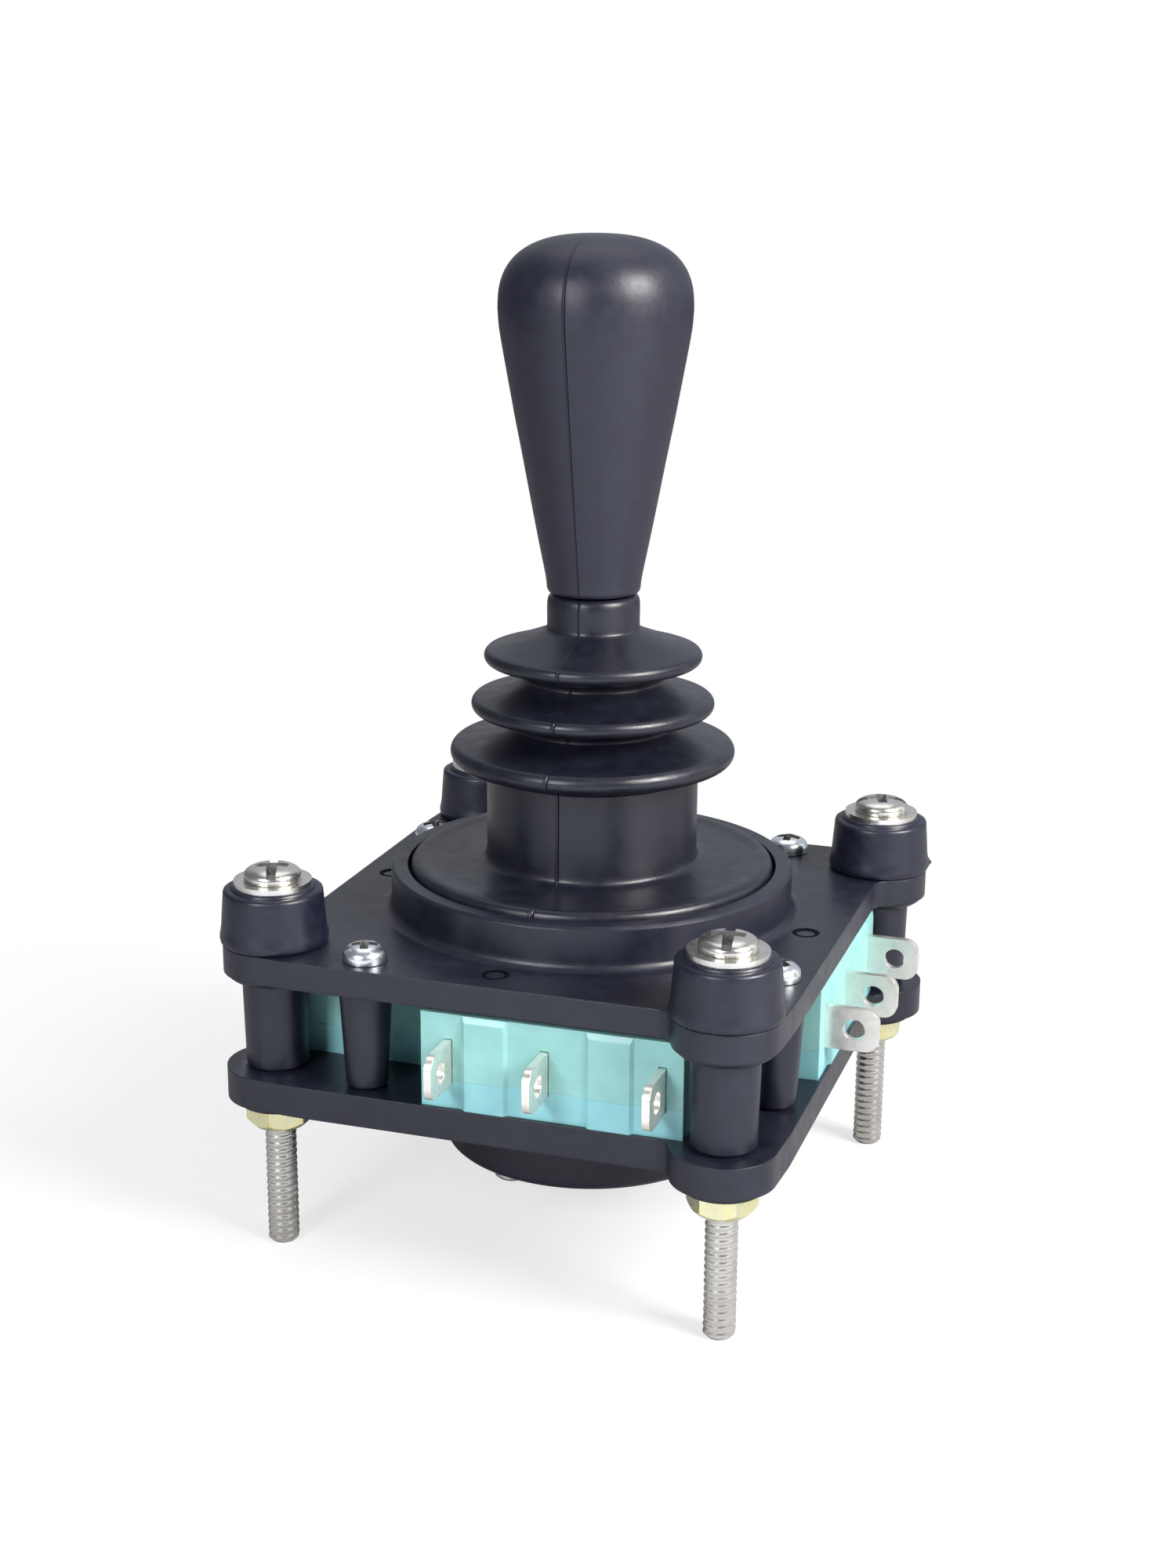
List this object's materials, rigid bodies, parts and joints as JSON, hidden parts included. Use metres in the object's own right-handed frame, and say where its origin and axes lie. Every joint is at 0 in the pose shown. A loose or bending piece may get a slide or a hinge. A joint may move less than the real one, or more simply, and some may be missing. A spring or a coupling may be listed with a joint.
{
  "type": "industrial joystick",
  "caption": "Panel joystick: bat handle and rubber bellows on a sprung gimbal between two square plates, working snap-action switches with blade terminals",
  "frame": {"origin": "centre of the object's footprint at the ends of the corner screws; +Z up along the lever at rest", "axes": "X and Y along the edges of the square plates, so the lever tilts about X and about Y; the square of corner screws is turned 5.6 degrees clockwise from the plates seen from above"},
  "size_m": [0.0678, 0.0678, 0.1068],
  "materials": {
    "black_plastic": "satin moulded black with a slight slate tint and fine mottle",
    "spacer_rubber": "dull moulded rubber, fine mottle",
    "boot_rubber": "satin moulded rubber with a parting line",
    "handle_rubber": "satin moulded grip with a parting line",
    "stainless": "bright stainless, rolled thread",
    "yellow_zinc": "pale yellow passivated zinc",
    "bright_zinc": "bright zinc",
    "spring_steel": "drawn spring steel",
    "switch_green": "mint green moulding, satin",
    "cover_green": "mint moulding with a bluer tint",
    "tab_plate": "silver-plated blade",
    "brass": "turned and rolled brass",
    "plunger_red": "moulded, satin",
    "shaft_steel": "turned steel",
    "acetal": "natural acetal, smooth"
  },
  "bodies": {
    "root": {"top_plate": "black_plastic", "bottom_plate": "black_plastic", "spring_housing": "black_plastic", "gimbal_keeper": "black_plastic", "rubber_spacers": "spacer_rubber", "corner_screws": "stainless", "corner_washers": "stainless", "corner_nuts": "yellow_zinc", "plate_screws": "bright_zinc", "housing_screws": "bright_zinc", "keeper_screws": "bright_zinc", "boot": "boot_rubber", "return_spring": "spring_steel", "switch_base_front": "switch_green", "switch_base_right": "switch_green", "switch_base_back": "switch_green", "switch_base_left": "switch_green", "switch_cover_front": "cover_green", "switch_cover_right": "cover_green", "switch_cover_back": "cover_green", "switch_cover_left": "cover_green", "common_terminals": "tab_plate", "closed_terminals": "tab_plate", "open_terminals": "tab_plate", "contact_blades": "brass", "leaf_pins": "spring_steel"},
    "gimbal": {"gimbal_ring": "bright_zinc", "gimbal_pins": "shaft_steel"},
    "lever": {"lever_shaft": "shaft_steel", "cross_pin": "shaft_steel", "actuator_ball": "acetal", "ball_clip": "spring_steel", "spring_seat": "bright_zinc", "handle": "handle_rubber", "handle_insert": "brass"},
    "plunger_front_body": {"plunger_front": "plunger_red"},
    "leaf_front_body": {"leaf_front": "spring_steel"},
    "plunger_right_body": {"plunger_right": "plunger_red"},
    "leaf_right_body": {"leaf_right": "spring_steel"},
    "plunger_back_body": {"plunger_back": "plunger_red"},
    "leaf_back_body": {"leaf_back": "spring_steel"},
    "plunger_left_body": {"plunger_left": "plunger_red"},
    "leaf_left_body": {"leaf_left": "spring_steel"}
  },
  "joints": [
    {"name": "gimbal_tilt", "type": "hinge", "parent": "root", "child": "gimbal", "pos_m": [0, 0, 0.035], "axis": [1, 0, 0], "range_deg": [-15, 15], "stiffness_Nm_per_rad": 0.15, "deforming": ["boot", "return_spring"]},
    {"name": "lever_tilt", "type": "hinge", "parent": "gimbal", "child": "lever", "pos_m": [0, 0, 0.035], "axis": [0, 1, 0], "range_deg": [-15, 15], "stiffness_Nm_per_rad": 0.15, "deforming": ["boot", "return_spring"]},
    {"name": "leaf_front_turn", "type": "hinge", "parent": "root", "child": "leaf_front_body", "pos_m": [0.0152, -0.01155, 0.02595], "axis": [0, 0, 1], "range_deg": [-8.75, 8.75]},
    {"name": "plunger_front_slide", "type": "slide", "parent": "root", "child": "plunger_front_body", "axis": [0, 1, 0], "range_m": [-0.00086, 0.00086]},
    {"name": "leaf_right_turn", "type": "hinge", "parent": "root", "child": "leaf_right_body", "pos_m": [0.01155, 0.0152, 0.02595], "axis": [0, 0, 1], "range_deg": [-8.75, 8.75]},
    {"name": "plunger_right_slide", "type": "slide", "parent": "root", "child": "plunger_right_body", "axis": [-1, 0, 0], "range_m": [-0.00086, 0.00086]},
    {"name": "leaf_back_turn", "type": "hinge", "parent": "root", "child": "leaf_back_body", "pos_m": [-0.0152, 0.01155, 0.02595], "axis": [0, 0, 1], "range_deg": [-8.75, 8.75]},
    {"name": "plunger_back_slide", "type": "slide", "parent": "root", "child": "plunger_back_body", "axis": [0, -1, 0], "range_m": [-0.00086, 0.00086]},
    {"name": "leaf_left_turn", "type": "hinge", "parent": "root", "child": "leaf_left_body", "pos_m": [-0.01155, -0.0152, 0.02595], "axis": [0, 0, 1], "range_deg": [-8.75, 8.75]},
    {"name": "plunger_left_slide", "type": "slide", "parent": "root", "child": "plunger_left_body", "axis": [1, 0, 0], "range_m": [-0.00086, 0.00086]}
  ],
  "couplings": [
    {"joint": "leaf_front_turn", "follows": "gimbal_tilt", "ratio": -0.58},
    {"joint": "plunger_front_slide", "follows": "gimbal_tilt", "m_per_rad": 0.003248},
    {"joint": "leaf_right_turn", "follows": "lever_tilt", "ratio": -0.58},
    {"joint": "plunger_right_slide", "follows": "lever_tilt", "m_per_rad": 0.003248},
    {"joint": "leaf_back_turn", "follows": "gimbal_tilt", "ratio": 0.58},
    {"joint": "plunger_back_slide", "follows": "gimbal_tilt", "m_per_rad": -0.003248},
    {"joint": "leaf_left_turn", "follows": "lever_tilt", "ratio": 0.58},
    {"joint": "plunger_left_slide", "follows": "lever_tilt", "m_per_rad": -0.003248}
  ]
}
